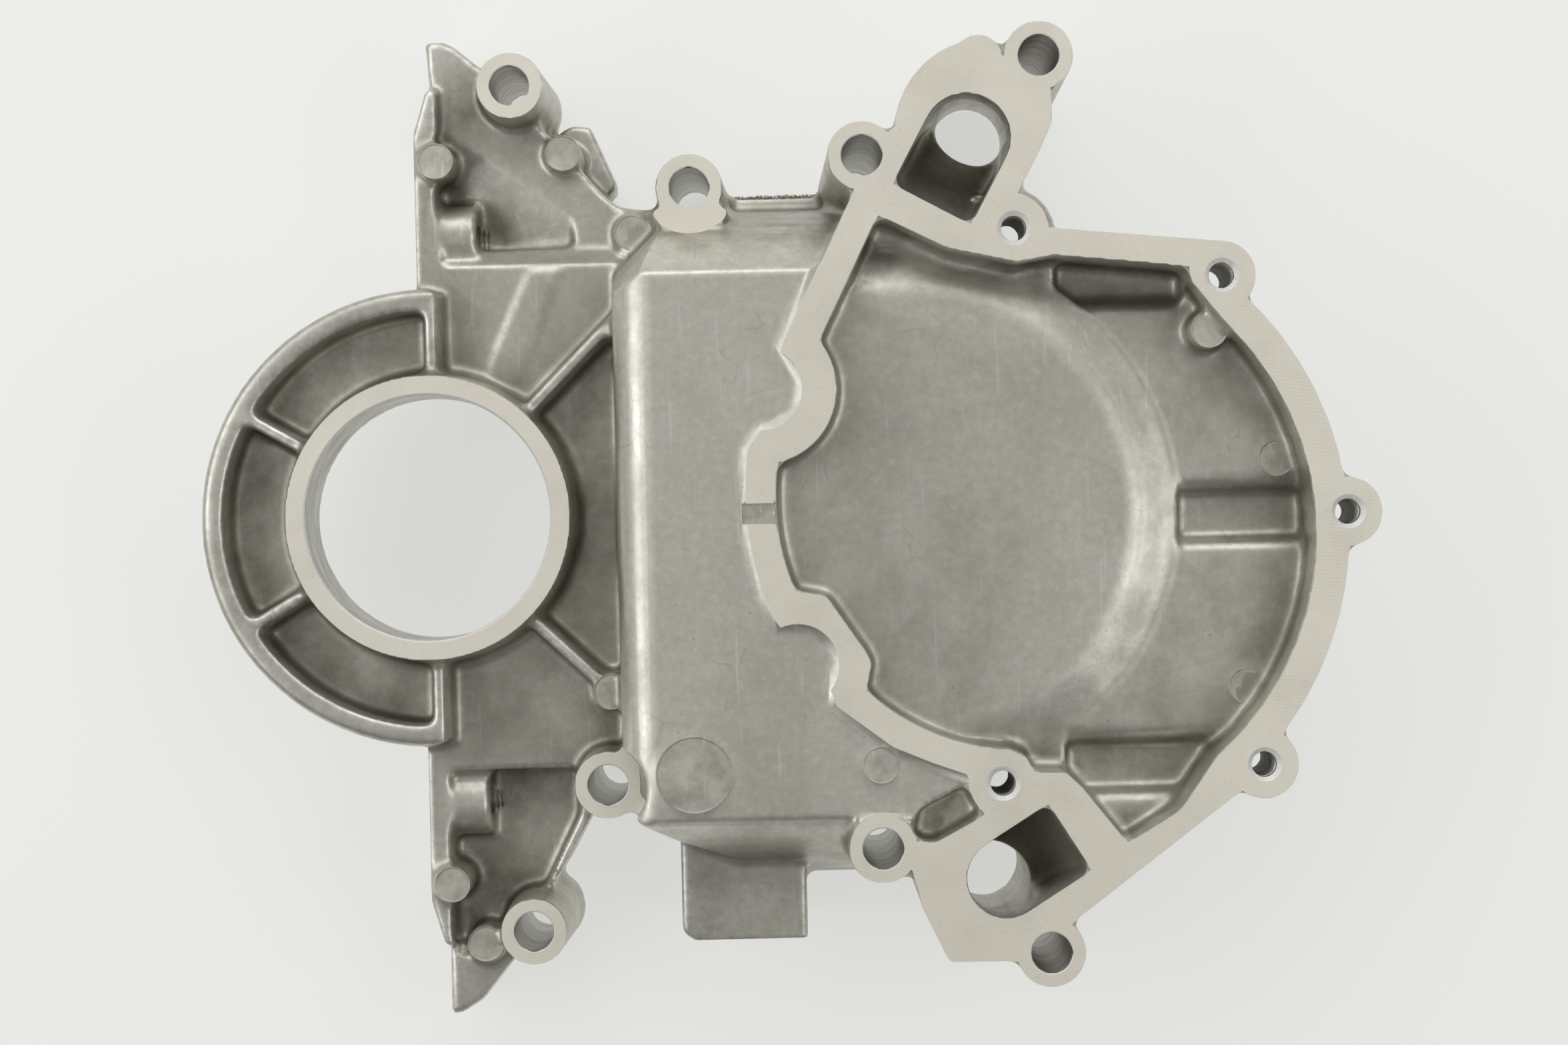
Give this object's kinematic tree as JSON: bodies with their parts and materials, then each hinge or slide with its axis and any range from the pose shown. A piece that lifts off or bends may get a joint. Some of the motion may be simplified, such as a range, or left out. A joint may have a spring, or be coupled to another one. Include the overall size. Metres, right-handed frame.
{
  "type": "timing cover",
  "caption": "Cast aluminium engine timing cover with a crank seal ring, an oil-pan half-round, a water-pump gasket face with sloped water ports, bolt bosses and a fuel-pump pad.",
  "frame": {"origin": "crankshaft axis at the block face", "axes": "+Z along the crankshaft to the front, +X from the crankshaft to the camshaft"},
  "size_m": [0.3193, 0.2747, 0.068],
  "materials": {
    "cast_aluminium": "as-cast satin grey with milled faces"
  },
  "bodies": {
    "root": {"timing_cover": "cast_aluminium"}
  },
  "joints": []
}
